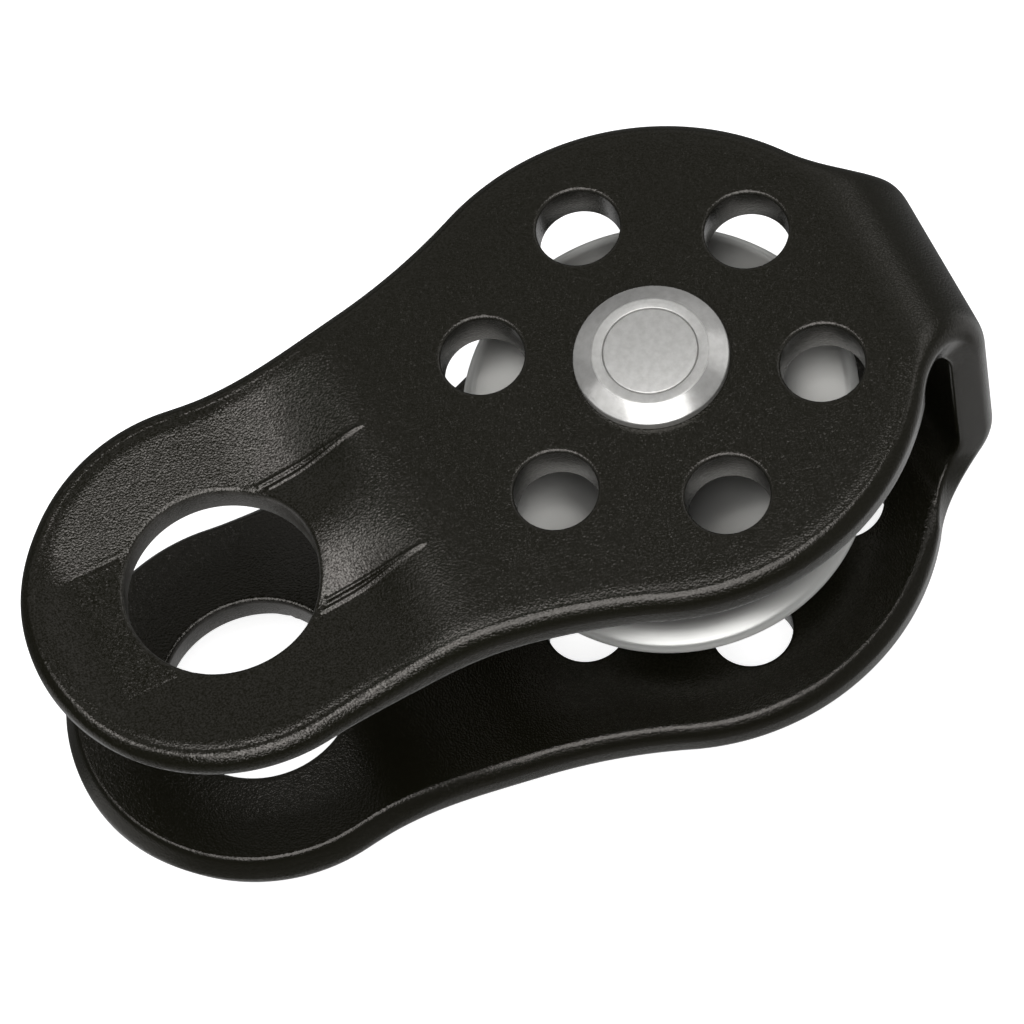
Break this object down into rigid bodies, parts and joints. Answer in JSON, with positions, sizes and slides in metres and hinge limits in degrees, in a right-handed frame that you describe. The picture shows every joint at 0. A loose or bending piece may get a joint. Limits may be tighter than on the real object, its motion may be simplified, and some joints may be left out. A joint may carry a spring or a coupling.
{
  "type": "single sheave block",
  "caption": "Single sheave block: one plate bent into a U with a round eye, and a ball-bearing sheave on a flush pin between its cheeks.",
  "frame": {"origin": "centre of the axle, half-way between the two cheeks, at the middle of the rope groove", "axes": "+Z along the axle, +X from the axle to the bridge, so that the eye is on the -X side; +Y across the cheeks"},
  "size_m": [0.095, 0.0516, 0.0372],
  "materials": {
    "coat": "satin black coat with a fine grain over bent aluminium plate",
    "pin": "turned stainless end face, flush with the collar",
    "collar": "turned and chamfered stainless",
    "spacer": "turned stainless",
    "sheave": "turned aluminium with fine circular marks",
    "bearing": "ground bearing steel",
    "cage": "moulded cage",
    "balls": "polished steel balls",
    "shield": "pressed steel washer"
  },
  "bodies": {
    "block": {"frame": "coat", "axle_pin": "pin", "collar_upper": "collar", "collar_lower": "collar", "spacer_upper": "spacer", "spacer_lower": "spacer", "inner_spacer": "spacer", "inner_ring_upper": "bearing", "inner_ring_lower": "bearing"},
    "sheave": {"sheave": "sheave", "outer_ring_upper": "bearing", "outer_ring_lower": "bearing", "shield_upper_outside": "shield", "shield_upper_inside": "shield", "shield_lower_outside": "shield", "shield_lower_inside": "shield"},
    "cage_upper": {"cage_upper": "cage", "balls_upper": "balls"},
    "cage_lower": {"cage_lower": "cage", "balls_lower": "balls"}
  },
  "joints": [
    {"name": "sheave_spin", "type": "hinge", "parent": "block", "child": "sheave", "pos_m": [0, 0, 0], "axis": [0, 0, 1], "continuous": true},
    {"name": "cage_upper_spin", "type": "hinge", "parent": "block", "child": "cage_upper", "pos_m": [0, 0, 0.0056], "axis": [0, 0, 1], "continuous": true},
    {"name": "cage_lower_spin", "type": "hinge", "parent": "block", "child": "cage_lower", "pos_m": [0, 0, -0.0056], "axis": [0, 0, 1], "continuous": true}
  ],
  "couplings": [
    {"joint": "cage_upper_spin", "follows": "sheave_spin", "ratio": 0.6095},
    {"joint": "cage_lower_spin", "follows": "sheave_spin", "ratio": 0.6095}
  ]
}
